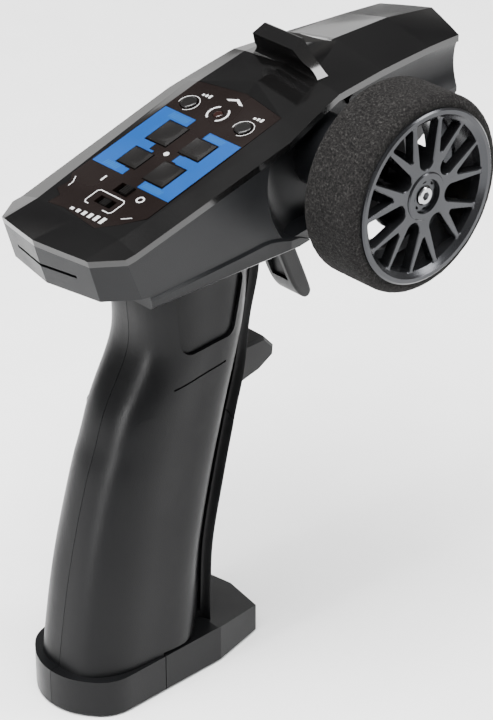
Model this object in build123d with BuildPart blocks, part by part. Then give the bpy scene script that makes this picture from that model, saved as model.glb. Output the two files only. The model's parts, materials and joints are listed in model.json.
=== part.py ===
"""Pistol-grip radio transmitter for model cars, built as separate parts.

+X is the steering-wheel side, +Y is forward (towards the nose) and +Z is up.
The origin is on the underside of the foot, on the seam plane of the two body halves.
"""
from math import atan2, cos, degrees, radians, sin
import os

from build123d import *

os.makedirs("parts", exist_ok=True)

# ---- Driving dimensions (mm) ------------------------------------------------------------
wall = 2.2
running_gap = 0.05

# steering axis, parallel to X
axis_y = 60.0
axis_z = 161.0
wheel_face_x = 60.0
tyre_width = 21.0
tyre_r = 29.8
rim_r = 26.2
shaft_r = 3.0

# head outline in plan: tail point, two rear corners, shoulder, nose corner, nose point
tail_y = -33.7
rear_w, rear_y = 18.4, -30.0
corner_w, corner_y = 24.2, -21.4
shoulder_w, shoulder_y = 25.6, 39.2
side_bow_w, side_bow_y = 19.9, 80.0
nose_w, nose_y = 16.5, 118.0
nose_tip_y = 123.6
plan_z = 156.5
rear_lean = 0.30
corner_lean = 0.40
head_floor_z = 138.5

# control panel plane: a slope about X
panel_top_y = 43.5
panel_top_z = 176.2
panel_rise = 0.2723
panel_angle = degrees(atan2(panel_rise, 1.0))
panel_half = 17.4
panel_length = 64.0
panel_point = 3.0
panel_thickness = 1.2
cover_thickness = 2.2

# grip stations: height, rear, front, half width
grip_stations = [
    (142.5, -0.4, 41.8, 16.2),
    (122.0, -0.5, 40.1, 16.2),
    (110.0, -1.6, 37.6, 16.2),
    (96.0, -9.3, 34.9, 15.9),
    (81.0, -15.3, 30.6, 16.2),
    (61.0, -21.7, 25.4, 16.5),
    (39.0, -26.9, 20.6, 17.2),
    (12.0, -31.4, 19.0, 17.7),
]
grip_roundness = 2.7
grip_levels = 12

# foot
foot_half = 18.6
foot_rear_y = -34.6
foot_front_y = 39.5
foot_corner_x = 14.6
foot_corner_y = 36.6
foot_split_y = -4.5
foot_height = 13.0
foot_bevel = 0.8
foot_toe_y = 17.0
foot_toe_height = 9.6

# battery door: a strip up the front of the grip, moulded in one with the front of the foot
door_half = 14.2
door_top_z = 86.0
seam_gap = 0.3
seam_line = 0.16

# battery pack: two cells across, two deep, leaning with the grip
cell_r = 6.9
cell_length = 49.7
cell_pitch = 14.0
pack_lean = 11.0
pack_y = -5.6
pack_z = 21.5
cell_room = 0.9
bay_floor_z = 15.5

# trigger
trigger_y = 54.0
trigger_z = 149.0
trigger_pin_r = 1.5
trigger_width = 11.0
trigger_hub_r = 5.0
trigger_slot_rear_y = 43.0
trigger_slot_front_y = 68.0

# wheel recess in the right side of the head
recess_r = 31.0
recess_floor_x = 17.0
ledge_z = 142.0
boss_r = 11.0
boss_end_x = 36.5
channel_r = 14.0
channel_x = 28.0
channel_z = 170.5


# ---- Shared shapes ----------------------------------------------------------------------
def head_plan(height, inset=0.0):
    """Outline of the head at one height; its rear leans back as it rises."""
    lean = rear_lean * (height - plan_z)
    lean_corner = corner_lean * (height - plan_z)
    with BuildSketch(Plane.XY.offset(height)) as plan:
        with BuildLine():
            tail = (0, tail_y - lean)
            rear = (rear_w, rear_y - lean)
            corner = (corner_w, corner_y - lean_corner)
            shoulder = (shoulder_w, shoulder_y)
            nose = (nose_w, nose_y)
            Polyline(tail, rear, corner, shoulder)
            ThreePointArc(shoulder, (side_bow_w, side_bow_y), nose)
            Line(nose, (0, nose_tip_y))
            mirror(about=Plane.YZ)
        make_face()
        if inset:
            offset(amount=-inset, kind=Kind.INTERSECTION)
    return plan.sketch


def head_prism(inset=0.0):
    """The head's outline carried from its floor to well above the roof."""
    with BuildPart() as prism:
        loft(sections=[head_plan(head_floor_z - 5, inset), head_plan(195, inset)], ruled=True)
    return prism.part


def panel_height(y):
    """Height of the control panel's plane at one place along the head."""
    return panel_top_z + panel_rise * (y - panel_top_y)


def crown_section(y, edge_z, shoulder_z, crease_z):
    """One cross-section of the space under the roof surface."""
    reach = 30
    with BuildSketch(Plane.XZ.offset(-y)) as section:
        with BuildLine():
            right = [(reach, edge_z), (panel_half, shoulder_z)]
            left = [(-x, z) for x, z in reversed(right)]
            Polyline((reach, 100), *right, (0, crease_z), *left, (-reach, 100), close=True)
        make_face()
    return section.sketch


def under_roof():
    """Everything below the roof surface."""
    edge_fall = 3.4
    tail = (-45.0, 152.2, 155.6, 158.2)
    low = (-18.0, panel_height(-18.0) - edge_fall, panel_height(-18.0), panel_height(-18.0))
    top = (panel_top_y, panel_top_z - edge_fall, panel_top_z, panel_top_z)
    roof = [
        (panel_top_y, panel_top_z - edge_fall, panel_top_z, 178.4),
        (62.0, 178.0, 180.2, 181.9),
        (82.0, 177.4, 180.5, 183.8),
        (104.0, 176.8, 179.9, 183.9),
        (130.0, 175.6, 178.6, 180.6),
    ]
    with BuildPart() as under:
        loft(sections=[crown_section(*s) for s in (tail, low, top)], ruled=True)
        loft(sections=[crown_section(*s) for s in roof], ruled=True)
        # V-shaped step at the head of the panel
        step_y = panel_top_y + panel_point
        for side in (-1, 1):
            with BuildSketch(Plane.YZ):
                with BuildLine():
                    Polyline(
                        (step_y, panel_height(step_y)),
                        (50.5, 179.9),
                        (66.0, 191.5),
                        (20.0, 191.5),
                        (20.0, panel_height(20.0)),
                        close=True,
                    )
                make_face()
            run = Vector(side * panel_half, -panel_point, -panel_point * panel_rise)
            extrude(amount=run.length * 1.8, dir=run.normalized(), mode=Mode.SUBTRACT)
    return under.part


roof_space = under_roof()


def below_roof(drop):
    """The space under the roof surface, lowered by drop."""
    return Pos(0, 0, -drop) * roof_space


def grip_section(height, rear, front, half, inset):
    """Rounded cross-section of the grip: a superellipse between its rear and front."""
    centre = (rear + front) / 2
    half_length = (front - rear) / 2 - inset
    half_width = half - inset
    power = 2 / grip_roundness
    steps = 6
    points = []
    for i in range(steps + 1):
        angle = radians(-90 + 180 * i / steps)
        across = half_width * abs(cos(angle)) ** power
        along = half_length * abs(sin(angle)) ** power
        points.append((across, centre + (along if angle > 0 else -along)))
    points[0] = (0, centre - half_length)
    points[-1] = (0, centre + half_length)
    with BuildSketch(Plane.XY.offset(height)) as section:
        with BuildLine():
            Spline(*points, tangents=[(1, 0), (-1, 0)])
            mirror(about=Plane.YZ)
        make_face()
    return section.sketch


def grip_size(height):
    """Rear, front and half width of the grip at one height, smoothed between its stations."""
    upper = 1
    while upper < len(grip_stations) - 1 and grip_stations[upper][0] > height:
        upper += 1
    here, there = grip_stations[upper - 1], grip_stations[upper]
    before = grip_stations[max(upper - 2, 0)]
    after = grip_stations[min(upper + 1, len(grip_stations) - 1)]
    span = there[0] - here[0]
    t = (height - here[0]) / span
    sizes = []
    for k in (1, 2, 3):
        slope_here = (there[k] - before[k]) / (there[0] - before[0]) * span
        slope_there = (after[k] - here[k]) / (after[0] - here[0]) * span
        rise = there[k] - here[k]
        bend = (slope_here - rise) * (1 - t) + (rise - slope_there) * t
        sizes.append(here[k] + rise * t + t * (1 - t) * bend)
    return sizes


def grip_solid(inset=0.0):
    """The grip's outer form, or its hollow when inset."""
    top, bottom = grip_stations[0][0], grip_stations[-1][0]
    sections = []
    for i in range(grip_levels + 1):
        height = top + (bottom - top) * i / grip_levels
        sections.append(grip_section(height, *grip_size(height), inset))
    with BuildPart() as grip:
        loft(sections=sections)
    return grip.part


def foot_solid():
    """The whole foot: a band with a rounded heel and a toe that slopes to a shallow point."""
    with BuildPart() as foot:
        with BuildSketch():
            with BuildLine():
                heel = (0, foot_rear_y)
                heel_side = (foot_half, foot_rear_y + 16)
                Spline(heel, (12.2, foot_rear_y + 4.2), heel_side, tangents=[(1, 0), (0, 1)])
                Polyline(heel_side, (foot_half, 18.0), (foot_corner_x, foot_corner_y), (0, foot_front_y))
                mirror(about=Plane.YZ)
            make_face()
        extrude(amount=foot_height)
        chamfer(foot.faces().sort_by(Axis.Z)[0].edges(), length=foot_bevel)
        # the toe's top slopes down to its tip
        with BuildSketch(Plane.YZ):
            with BuildLine():
                Polyline(
                    (foot_toe_y, foot_height),
                    (foot_front_y, foot_toe_height),
                    (foot_front_y + 5, foot_toe_height),
                    (foot_front_y + 5, foot_height + 5),
                    (foot_toe_y, foot_height + 5),
                    close=True,
                )
            make_face()
        extrude(amount=40, both=True, mode=Mode.SUBTRACT)
    return foot.part


def door_region(gap=0.0):
    """The space that the battery door takes: a round-topped strip and the foot's front."""
    half = door_half + gap
    straight_top = door_top_z - door_half
    strip_rear_y = 1.0
    with BuildPart() as region:
        with BuildSketch(Plane.XZ.offset(-strip_rear_y)):
            with BuildLine():
                Polyline((-half, straight_top), (-half, 8.0), (half, 8.0), (half, straight_top))
                ThreePointArc((half, straight_top), (0, straight_top + half), (-half, straight_top))
            make_face()
        extrude(amount=-60)
        with Locations((0, foot_split_y - gap + 40, foot_height / 2 + gap)):
            Box(80, 80, foot_height + 4 * gap)
    return region.part


def lower_profile(inset=0.0):
    """Side view of the head below the roof, from its heel to the nose."""
    with BuildSketch(Plane.YZ.offset(-40)) as profile:
        with BuildLine():
            Polyline(
                (-60, 203),
                (-60, 145.5),
                (-27, 143.5),
                (-13, 142.5),
                (-13, head_floor_z),
                (48, head_floor_z),
                (76, 141),
                (101, 151),
                (119, 161.5),
                (140, 161.5),
                (140, 203),
                close=True,
            )
        make_face()
        if inset:
            offset(amount=-inset, kind=Kind.INTERSECTION)
    return profile.sketch


def wheel_recess(grow=0.0):
    """Dished recess round the steering axis, with its channel along the nose."""
    radius = recess_r + grow
    floor = recess_floor_x - grow
    lip = 6.0
    outside = shoulder_w + 6
    with BuildPart() as recess:
        with BuildSketch(Plane.XY.offset(axis_z)):
            with BuildLine():
                Line((floor, axis_y), (floor, axis_y + radius - 2 * lip))
                Spline(
                    (floor, axis_y + radius - 2 * lip),
                    (floor + lip, axis_y + radius - lip / 2),
                    (outside, axis_y + radius),
                    tangents=[(0, 1), (1, 0)],
                )
                Polyline((outside, axis_y + radius), (outside, axis_y), (floor, axis_y))
            make_face()
        revolve(axis=Axis((0, axis_y, axis_z), (1, 0, 0)))
        # flat ledge along the bottom of the recess
        with Locations((outside, axis_y, ledge_z - grow - 30)):
            Box(80, 200, 60, mode=Mode.SUBTRACT)
        with Locations(Location((channel_x, axis_y + 50, channel_z), (90, 0, 0))):
            Cylinder(channel_r + grow, 100)
    return recess.part


def shell_body():
    """Both body halves in one piece, before the split at the seam."""
    with BuildPart() as body:
        add(head_prism())
        add(below_roof(cover_thickness), mode=Mode.INTERSECT)
        extrude(lower_profile(), amount=80, mode=Mode.INTERSECT)
        add(wheel_recess(), mode=Mode.SUBTRACT)
        add(grip_solid())
        add(foot_solid())
    return body.part


def grip_skin_cut(outline, depth):
    """Cutting tool that sinks a side-view outline into both sides of the grip by depth."""
    with BuildPart() as cut:
        extrude(outline, amount=60, both=True)
        add(grip_solid(depth), mode=Mode.SUBTRACT)
    return cut.part


def pad_outline():
    """D-shaped finger pad on the side of the grip, in side view."""
    with BuildSketch(Plane.YZ) as outline:
        with BuildLine():
            Polyline((5.8, 131), (30.8, 133.7), (25.6, 112.8), (7.1, 110.8), close=True)
        make_face()
        fillet(outline.vertices(), radius=3.6)
    return outline.sketch


def crease_outline():
    """Thin step below the pad, in side view."""
    with BuildSketch(Plane.YZ) as outline:
        with BuildLine():
            Polyline((3.7, 101.0), (22.6, 104.4), (22.6, 105.0), (3.7, 101.6), close=True)
        make_face()
    return outline.sketch


def rear_groove():
    """Cutting tool for the narrow groove across the rear wall."""
    groove_depth = 1.5
    with BuildPart() as groove:
        with Locations((-0.3, tail_y, 150)):
            Box(25.5, 16, 1.0)
        add(head_prism(groove_depth), mode=Mode.SUBTRACT)
    return groove.part


def side_bead():
    """Rounded lip along the foot of the head's side walls."""
    bead_out = 0.8
    with BuildPart() as bead:
        extrude(head_plan(head_floor_z, -bead_out), amount=8)
        with BuildSketch(Plane.YZ.offset(-40)):
            with BuildLine():
                Polyline((48, head_floor_z), (-13, head_floor_z), (-13, 141.8), (20, 143.8), (29, 144.5))
                Spline((29, 144.5), (36, 143.6), (48, head_floor_z + 0.4), tangents=[(1, 0.05), (1, -0.5)])
                Line((48, head_floor_z + 0.4), (48, head_floor_z))
            make_face()
        extrude(amount=80, mode=Mode.INTERSECT)
        with BuildSketch(Plane.XY.offset(head_floor_z)):
            Rectangle(2 * shoulder_w - 8, 200)
        extrude(amount=10, mode=Mode.SUBTRACT)
        long_edges = bead.edges().filter_by(lambda e: e.length > 20)
        outer = long_edges.filter_by(lambda e: abs(e.center().X) > corner_w)
        chamfer(outer, length=0.7)
    return bead.part


# ---- Places inside the body -------------------------------------------------------------
pack_plane = Plane(
    origin=(0, pack_y, pack_z),
    x_dir=(1, 0, 0),
    z_dir=(0, sin(radians(pack_lean)), cos(radians(pack_lean))),
)
panel_plane = Plane(
    origin=(0, panel_top_y, panel_top_z),
    x_dir=(1, 0, 0),
    z_dir=(0, -sin(radians(panel_angle)), cos(radians(panel_angle))),
)


def side_plane(x):
    """Plane facing +X at one place, with its own x along Y and its own y along Z."""
    return Plane(origin=(x, 0, 0), x_dir=(0, 1, 0), z_dir=(1, 0, 0))


def axle_plane(x):
    """Plane facing +X, centred on the steering axis."""
    return Plane(origin=(x, axis_y, axis_z), x_dir=(0, 1, 0), z_dir=(1, 0, 0))


# screws that hold the two halves: (y, z)
shell_screw_places = [(101.0, 165.0), (-17.0, 149.5), (17.0, 107.6), (-4.0, 90.0), (-22.0, 8.0)]
boss_outer_r = 4.2
screw_r = 1.25
screw_clear_r = 1.5
screw_head_r = 2.6
screw_head_height = 1.8
screw_reach = 9.0
head_seat_x = -11.0

# steering pot: meshes with the drive gear on the shaft
gear_x = 8.4
gear_width = 3.0
gear_pitch_r = 7.0
gear_teeth = 14
gear_gap = 14.4
pot_y = axis_y + gear_gap
pot_flange_x = 6.4
pot_post_reach = 10.3
pot_flange = 1.6
pot_post_r = 1.6
pot_screw_r = 0.8

# brackets inside the halves
left_bracket_x = -12.0
left_bracket_width = 2.0
right_bracket_x = 6.2
right_bracket_width = 1.8
bracket_rear_y = 46.5
bracket_front_y = 66.0

# bushes in the boss
bush_r = 5.0
bush_length = 5.0
bush_flange_r = 6.6
bush_flange = 1.0


def hollow():
    """The space inside the body: the head, the grip, the battery bay and the heel."""
    with BuildPart() as space:
        add(head_prism(wall))
        extrude(lower_profile(wall), amount=80, mode=Mode.INTERSECT)
        add(wheel_recess(wall), mode=Mode.SUBTRACT)
        # room inside the boss, for the bushes and the shaft
        with BuildSketch(axle_plane(0)):
            Circle(boss_r)
        extrude(amount=boss_end_x)
    return space.part


def grip_hollow():
    """The space inside the grip, down to the floor of the battery bay."""
    with BuildPart() as space:
        add(grip_solid(wall))
        with Locations((0, 0, bay_floor_z - 20)):
            Box(80, 120, 40, mode=Mode.SUBTRACT)
        # scallops in the side walls, one for each cell
        with BuildSketch(pack_plane.offset(-2)):
            with GridLocations(cell_pitch, cell_pitch, 2, 2):
                Circle(cell_r + cell_room)
        extrude(amount=cell_length + 5)
        with Locations((0, 0, bay_floor_z - 20)):
            Box(80, 120, 40, mode=Mode.SUBTRACT)
    return space.part


def heel_hollow():
    """The space inside the heel of the foot."""
    with BuildPart() as space:
        with Locations((0, foot_split_y - wall - 11, foot_height / 2)):
            Box(2 * 13.5, 22, foot_height - 2 * wall)
    return space.part


def screw_bosses():
    """Tubes that join the halves, reaching in from both side walls to the seam."""
    with BuildPart() as bosses:
        for y, z in shell_screw_places:
            with BuildSketch(Plane(origin=(-40, y, z), x_dir=(0, 1, 0), z_dir=(1, 0, 0))):
                Circle(boss_outer_r)
            extrude(amount=80)
    return bosses.part


def body_with_details():
    """Both halves in one piece, hollowed, with bosses, pads and slots."""
    outer = shell_body()
    bosses = screw_bosses() & outer
    with BuildPart() as body:
        add(outer)
        add(side_bead())
        add(hollow(), mode=Mode.SUBTRACT)
        add(grip_hollow(), mode=Mode.SUBTRACT)
        add(heel_hollow(), mode=Mode.SUBTRACT)
        add(bosses)
        # hole round the front of the battery bay, for the door
        add(door_region(seam_gap), mode=Mode.SUBTRACT)
        add(grip_skin_cut(pad_outline(), 1.1), mode=Mode.SUBTRACT)
        add(grip_skin_cut(crease_outline(), 0.5), mode=Mode.SUBTRACT)
        # boss round the steering shaft, with seats for its two bushes
        with BuildSketch(axle_plane(recess_floor_x - wall)):
            Circle(boss_r)
        extrude(amount=boss_end_x - recess_floor_x + wall)
        with BuildSketch(axle_plane(0)):
            Circle(bush_r)
        extrude(amount=boss_end_x + 5, mode=Mode.SUBTRACT)
        # slot in the head's floor for the trigger
        with Locations((0, (trigger_slot_rear_y + trigger_slot_front_y) / 2, head_floor_z)):
            Box(trigger_width + 1.2, trigger_slot_front_y - trigger_slot_rear_y, 16, mode=Mode.SUBTRACT)
        add(rear_groove(), mode=Mode.SUBTRACT)
        # brackets for the trigger shaft and the inner end of the steering shaft
        with BuildSketch(side_plane(left_bracket_x)):
            with BuildLine():
                Polyline(
                    (bracket_rear_y, head_floor_z + 0.6),
                    (bracket_rear_y, 153),
                    (54, 167),
                    (bracket_front_y, 167),
                    (bracket_front_y, head_floor_z + 0.6),
                    close=True,
                )
            make_face()
        extrude(amount=left_bracket_width)
        with BuildSketch(side_plane(right_bracket_x)):
            with BuildLine():
                Polyline(
                    (bracket_rear_y, head_floor_z + 0.6),
                    (bracket_rear_y, 152.4),
                    (62, 152.4),
                    (bracket_front_y, head_floor_z + 0.6),
                    close=True,
                )
            make_face()
        extrude(amount=right_bracket_width)
        with BuildSketch(side_plane(left_bracket_x - 1)):
            with Locations((trigger_y, trigger_z)):
                Circle(trigger_pin_r + running_gap)
            with Locations((axis_y, axis_z)):
                Circle(shaft_r + running_gap)
        extrude(amount=right_bracket_x + right_bracket_width + 1 - left_bracket_x, mode=Mode.SUBTRACT)
        # posts that carry the steering pot
        with BuildSketch(side_plane(pot_flange_x + pot_flange)):
            for side in (-1, 1):
                with Locations((pot_y, axis_z + side * pot_post_reach)):
                    Circle(pot_post_r)
        extrude(amount=recess_floor_x - wall + 0.6 - pot_flange_x - pot_flange)
        with BuildSketch(side_plane(pot_flange_x + pot_flange)):
            for side in (-1, 1):
                with Locations((pot_y, axis_z + side * pot_post_reach)):
                    Circle(pot_screw_r)
        extrude(amount=3.5, mode=Mode.SUBTRACT)
    return body.part


def cut_half(body, side):
    """One half of the body: side is 1 for the right and -1 for the left."""
    with BuildPart() as half:
        add(body)
        with Locations((side * (100 + seam_line / 2), 0, 100)):
            Box(200, 400, 400, mode=Mode.INTERSECT)
    return half.part


body = body_with_details()

# ---- Left and right halves of the body --------------------------------------------------
with BuildPart() as right_shell:
    add(cut_half(body, 1))
    for y, z in shell_screw_places:
        with BuildSketch(Plane(origin=(0, y, z), x_dir=(0, 1, 0), z_dir=(1, 0, 0))):
            Circle(screw_r)
        extrude(amount=screw_reach, mode=Mode.SUBTRACT)
right_shell.part.label = "right_shell"
export_step(right_shell.part, "parts/right_shell.step")

with BuildPart() as left_shell:
    add(cut_half(body, -1))
    for y, z in shell_screw_places:
        with BuildSketch(Plane(origin=(0, y, z), x_dir=(0, 1, 0), z_dir=(1, 0, 0))):
            Circle(screw_clear_r)
        extrude(amount=-30, mode=Mode.SUBTRACT)
        with BuildSketch(Plane(origin=(head_seat_x, y, z), x_dir=(0, 1, 0), z_dir=(1, 0, 0))):
            Circle(screw_head_r + 0.3)
        extrude(amount=-30, mode=Mode.SUBTRACT)
left_shell.part.label = "left_shell"
export_step(left_shell.part, "parts/left_shell.step")


# ---- Body screws ------------------------------------------------------------------------
def turned(part_name, steps, plane):
    """Stack of round steps along a plane's normal: each is (radius, start, length)."""
    with BuildPart() as stack:
        for radius, start, length in steps:
            with BuildSketch(plane.offset(start)):
                Circle(radius)
            extrude(amount=length)
    stack.part.label = part_name
    return stack.part


def cross_recess(plane, depth, reach=1.5, width=0.5):
    """Cross-shaped driver recess sunk into a screw head from its top plane."""
    with BuildPart() as cross:
        with BuildSketch(plane):
            Rectangle(2 * reach, width)
            Rectangle(width, 2 * reach)
        extrude(amount=-depth)
    return cross.part


with BuildPart() as shell_screws:
    for y, z in shell_screw_places:
        head_top = Plane(
            origin=(head_seat_x - screw_head_height, y, z), x_dir=(0, 1, 0), z_dir=(-1, 0, 0)
        )
        shank_length = screw_head_height - head_seat_x + screw_reach - 1.0
        add(turned("screw", [(screw_head_r, -screw_head_height, screw_head_height)], head_top))
        with BuildSketch(head_top.offset(-screw_head_height)):
            Circle(screw_r - 0.02)
        extrude(amount=screw_head_height - shank_length)
        add(cross_recess(head_top, 1.0), mode=Mode.SUBTRACT)
shell_screws.part.label = "shell_screws"
export_step(shell_screws.part, "parts/shell_screws.step")

# ---- Top cover --------------------------------------------------------------------------
# controls on the panel: x across, s along the slope from its top edge
key_places = {
    "upper_left": (-6.4, -22.8, 8.0, 9.3),
    "upper_right": (6.9, -23.4, 8.1, 7.6),
    "lower_left": (-6.2, -35.7, 7.4, 7.4),
    "lower_right": (6.8, -36.6, 8.0, 9.0),
}
round_places = {"reverse": (-12.0, -9.0), "channel_3": (11.2, -9.4)}
round_button_r = 2.5
key_gap = 0.3
key_proud = 0.9
key_flange = 1.0
led_place = (-0.4, -8.3)
led_r = 1.5
power_window = (1.95, -47.6, 5.9, 4.2)
channel_4_window = (1.3, -54.3, 6.6, 3.2)
board_top = -8.6
board_thickness = 1.6
clip_x = 21.2
clip_thickness = 1.4
clip_length = 8.0
clip_height = 9.0


def panel_outline(grow=0.0):
    """Outline of the control panel, on its own plane."""
    with BuildSketch(panel_plane) as outline:
        with BuildLine():
            Polyline(
                (0, panel_point),
                (panel_half, 0),
                (panel_half, -53.0),
                (12.7, -59.0),
                (7.5, -panel_length),
                (-7.3, -62.4),
                (-13.4, -63.3),
                (-12.7, -59.2),
                (-16.0, -57.5),
                (-15.1, -53.3),
                (-panel_half, -50.5),
                (-panel_half, 0),
                close=True,
            )
        make_face()
        if grow:
            offset(amount=grow, kind=Kind.INTERSECTION)
    return outline.sketch


def control_openings(plane, gap):
    """Outlines of all the openings for keys, buttons, sliders and the lamp."""
    with BuildSketch(plane) as openings:
        for x, s, width, length in key_places.values():
            with Locations((x, s)):
                Rectangle(width + 2 * gap, length + 2 * gap)
        for x, s in round_places.values():
            with Locations((x, s)):
                Circle(round_button_r + gap)
        with Locations(led_place):
            Circle(led_r + gap / 2)
        for x, s, width, length in (power_window, channel_4_window):
            with Locations((x, s)):
                Rectangle(width, length)
    return openings.sketch


def cover_clips():
    """Four clips under the cover, inside the side walls, kept below its outer surface."""
    with BuildPart() as clips:
        for side in (-1, 1):
            for y, z in ((-8.0, 156.0), (24.0, 165.0)):
                with Locations((side * clip_x, y, z)):
                    Box(clip_thickness, clip_length, clip_height)
        add(below_roof(cover_thickness / 2), mode=Mode.INTERSECT)
    return clips.part


with BuildPart() as top_cover:
    add(head_prism())
    add(roof_space, mode=Mode.INTERSECT)
    add(below_roof(cover_thickness), mode=Mode.SUBTRACT)
    extrude(panel_outline(0.1), amount=-panel_thickness, mode=Mode.SUBTRACT)
    extrude(panel_outline(0.1), amount=4, mode=Mode.SUBTRACT)
    extrude(control_openings(panel_plane.offset(1), key_gap), amount=-10, mode=Mode.SUBTRACT)
    add(cover_clips())
top_cover.part.label = "top_cover"
export_step(top_cover.part, "parts/top_cover.step")

# ---- Control panel plate ----------------------------------------------------------------
with BuildPart() as panel_plate:
    extrude(panel_outline(), amount=-panel_thickness)
    extrude(control_openings(panel_plane.offset(1), key_gap), amount=-4, mode=Mode.SUBTRACT)
panel_plate.part.label = "panel_plate"
export_step(panel_plate.part, "parts/panel_plate.step")

# ---- Keys and round buttons -------------------------------------------------------------
flange_top = -cover_thickness - 0.05
stem_r = 1.4
stem_foot = -6.0

for name, (x, s, width, length) in key_places.items():
    with BuildPart() as key:
        with BuildSketch(panel_plane.offset(flange_top)):
            with Locations((x, s)):
                Rectangle(width, length)
        extrude(amount=key_proud - flange_top)
        top_face = key.faces().sort_by(Axis(panel_plane.origin, panel_plane.z_dir))[-1]
        chamfer(top_face.edges(), length=0.7)
        # shallow finger dish
        with Locations(panel_plane.offset(key_proud + 28) * Location((x, s, 0))):
            Sphere(28.35, mode=Mode.SUBTRACT)
        with BuildSketch(panel_plane.offset(flange_top)):
            with Locations((x, s)):
                Rectangle(width + 1.6, length + 1.6)
        extrude(amount=-key_flange)
        with BuildSketch(panel_plane.offset(flange_top - key_flange)):
            with Locations((x, s)):
                Circle(stem_r)
        extrude(amount=stem_foot - flange_top + key_flange)
    key.part.label = "key_" + name
    export_step(key.part, "parts/key_" + name + ".step")

for name, (x, s) in round_places.items():
    with BuildPart() as button:
        with BuildSketch(panel_plane.offset(flange_top)):
            with Locations((x, s)):
                Circle(round_button_r)
        extrude(amount=0.6 - flange_top)
        top_face = button.faces().sort_by(Axis(panel_plane.origin, panel_plane.z_dir))[-1]
        fillet(top_face.edges(), radius=0.5)
        with BuildSketch(panel_plane.offset(flange_top)):
            with Locations((x, s)):
                Circle(round_button_r + 0.9)
        extrude(amount=-key_flange)
        with BuildSketch(panel_plane.offset(flange_top - key_flange)):
            with Locations((x, s)):
                Circle(stem_r)
        extrude(amount=stem_foot - flange_top + key_flange)
    button.part.label = name + "_button"
    export_step(button.part, "parts/" + name + "_button.step")

# ---- Switch bodies under the keys -------------------------------------------------------
switch_half = 3.0
switch_top = -5.0
well_r = stem_r + 0.3
with BuildPart() as key_switches:
    places = [(x, s) for x, s, _, _ in key_places.values()] + list(round_places.values())
    for x, s in places:
        with BuildSketch(panel_plane.offset(board_top)):
            with Locations((x, s)):
                Rectangle(2 * switch_half, 2 * switch_half)
        extrude(amount=switch_top - board_top)
        with BuildSketch(panel_plane.offset(switch_top)):
            with Locations((x, s)):
                Circle(well_r)
        extrude(amount=-2.2, mode=Mode.SUBTRACT)
key_switches.part.label = "key_switches"
export_step(key_switches.part, "parts/key_switches.step")

# ---- Slide switches ---------------------------------------------------------------------
slide_top = -4.4
slide_groove = 1.4
knob_stem = 1.1


def slide_switch(window, body_width, body_length):
    """Body of a slide switch on the board, with a groove that guides its knob."""
    x, s, width, _ = window
    with BuildPart() as switch:
        with BuildSketch(panel_plane.offset(board_top)):
            with Locations((x, s)):
                Rectangle(body_width, body_length)
        extrude(amount=slide_top - board_top)
        with BuildSketch(panel_plane.offset(slide_top)):
            with Locations((x, s)):
                Rectangle(width, 1.8)
        extrude(amount=-slide_groove, mode=Mode.SUBTRACT)
    return switch.part


def slide_knob(x, s, width, length, proud):
    """Knob of a slide switch: a ribbed cap on a stem that runs in the switch's groove."""
    with BuildPart() as knob:
        with BuildSketch(panel_plane.offset(slide_top + 0.3)):
            with Locations((x, s)):
                Rectangle(width, length)
        extrude(amount=proud - slide_top - 0.3)
        # grip ribs across the top
        for step in (-1, 0, 1):
            with BuildSketch(panel_plane.offset(proud)):
                with Locations((x + step * width / 3.2, s)):
                    Rectangle(width / 8, length)
            extrude(amount=-0.4, mode=Mode.SUBTRACT)
        with BuildSketch(panel_plane.offset(slide_top + 0.3)):
            with Locations((x, s)):
                Rectangle(1.2, 1.2)
        extrude(amount=-knob_stem)
    return knob.part


power_switch_body = slide_switch(power_window, 12.0, 5.0)
power_switch_body.label = "power_switch_body"
export_step(power_switch_body, "parts/power_switch_body.step")

power_slider = slide_knob(3.25, power_window[1], 2.7, 3.6, 0.8)
power_slider.label = "power_slider"
export_step(power_slider, "parts/power_slider.step")

channel_4_switch_body = slide_switch(channel_4_window, 11.0, 4.2)
channel_4_switch_body.label = "channel_4_switch_body"
export_step(channel_4_switch_body, "parts/channel_4_switch_body.step")

channel_4_slider = slide_knob(channel_4_window[0], channel_4_window[1], 2.6, 2.6, 0.1)
channel_4_slider.label = "channel_4_slider"
export_step(channel_4_slider, "parts/channel_4_slider.step")

# ---- Status lamp and circuit board ------------------------------------------------------
with BuildPart() as status_led:
    with BuildSketch(panel_plane.offset(board_top)):
        with Locations(led_place):
            Circle(led_r)
    extrude(amount=0.2 - board_top)
    lamp_top = status_led.faces().sort_by(Axis(panel_plane.origin, panel_plane.z_dir))[-1]
    fillet(lamp_top.edges(), radius=0.5)
status_led.part.label = "status_led"
export_step(status_led.part, "parts/status_led.step")

board_half = 18.5
board_rear, board_front = -56.0, -5.5
board_notch = 10.0
board_screw_places = [(-16.0, -53.5), (16.0, -53.5), (-16.0, -18.5), (15.5, -18.5)]
with BuildPart() as main_board:
    with BuildSketch(panel_plane.offset(board_top)):
        with Locations((0, (board_rear + board_front) / 2)):
            Rectangle(2 * board_half, board_front - board_rear)
        # corner cut away to clear the wheel recess
        with Locations((board_half, board_front)):
            Rectangle(2 * board_notch, 2 * board_notch, mode=Mode.SUBTRACT)
        with Locations(*board_screw_places):
            Circle(1.2, mode=Mode.SUBTRACT)
    extrude(amount=-board_thickness)
main_board.part.label = "main_board"
export_step(main_board.part, "parts/main_board.step")

with BuildPart() as board_screws:
    for x, s in board_screw_places:
        with BuildSketch(panel_plane.offset(board_top - board_thickness)):
            with Locations((x, s)):
                Circle(1.9)
        extrude(amount=-1.4)
        with BuildSketch(panel_plane.offset(board_top - board_thickness)):
            with Locations((x, s)):
                Circle(0.98)
        extrude(amount=5)
board_screws.part.label = "board_screws"
export_step(board_screws.part, "parts/board_screws.step")

# ---- Antenna housing and antenna --------------------------------------------------------
fin_base_half = 13.4
fin_top_half = 7.7
fin_top_z = 192.6
fin_lip_z = 190.4


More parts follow.
